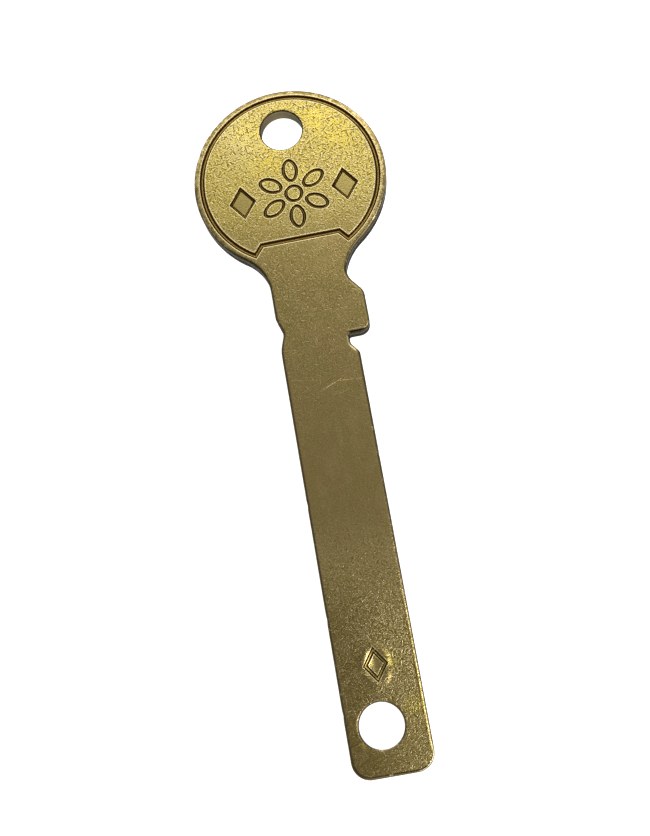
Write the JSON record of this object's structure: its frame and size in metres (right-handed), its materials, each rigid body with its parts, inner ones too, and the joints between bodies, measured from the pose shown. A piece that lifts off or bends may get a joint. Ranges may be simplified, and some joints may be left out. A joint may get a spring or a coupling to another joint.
{
  "type": "flat key blank",
  "caption": "Flat one-piece brass key blank with a round bow, key ring hole, coined rim line, collar stop on one side, long uncut blade and a round hole near the tip.",
  "frame": {"origin": "centre of the key ring hole, on the back face that the key lies on", "axes": "+Y along the key towards the top of the bow, +Z out of the coined front face, +X towards the collar side"},
  "size_m": [0.028, 0.0983, 0.0025],
  "materials": {
    "brass": "tumbled stamped brass, matt and finely grained, golden on the bow and browner along the blade"
  },
  "bodies": {
    "root": {"key_blank": "brass"}
  },
  "joints": []
}
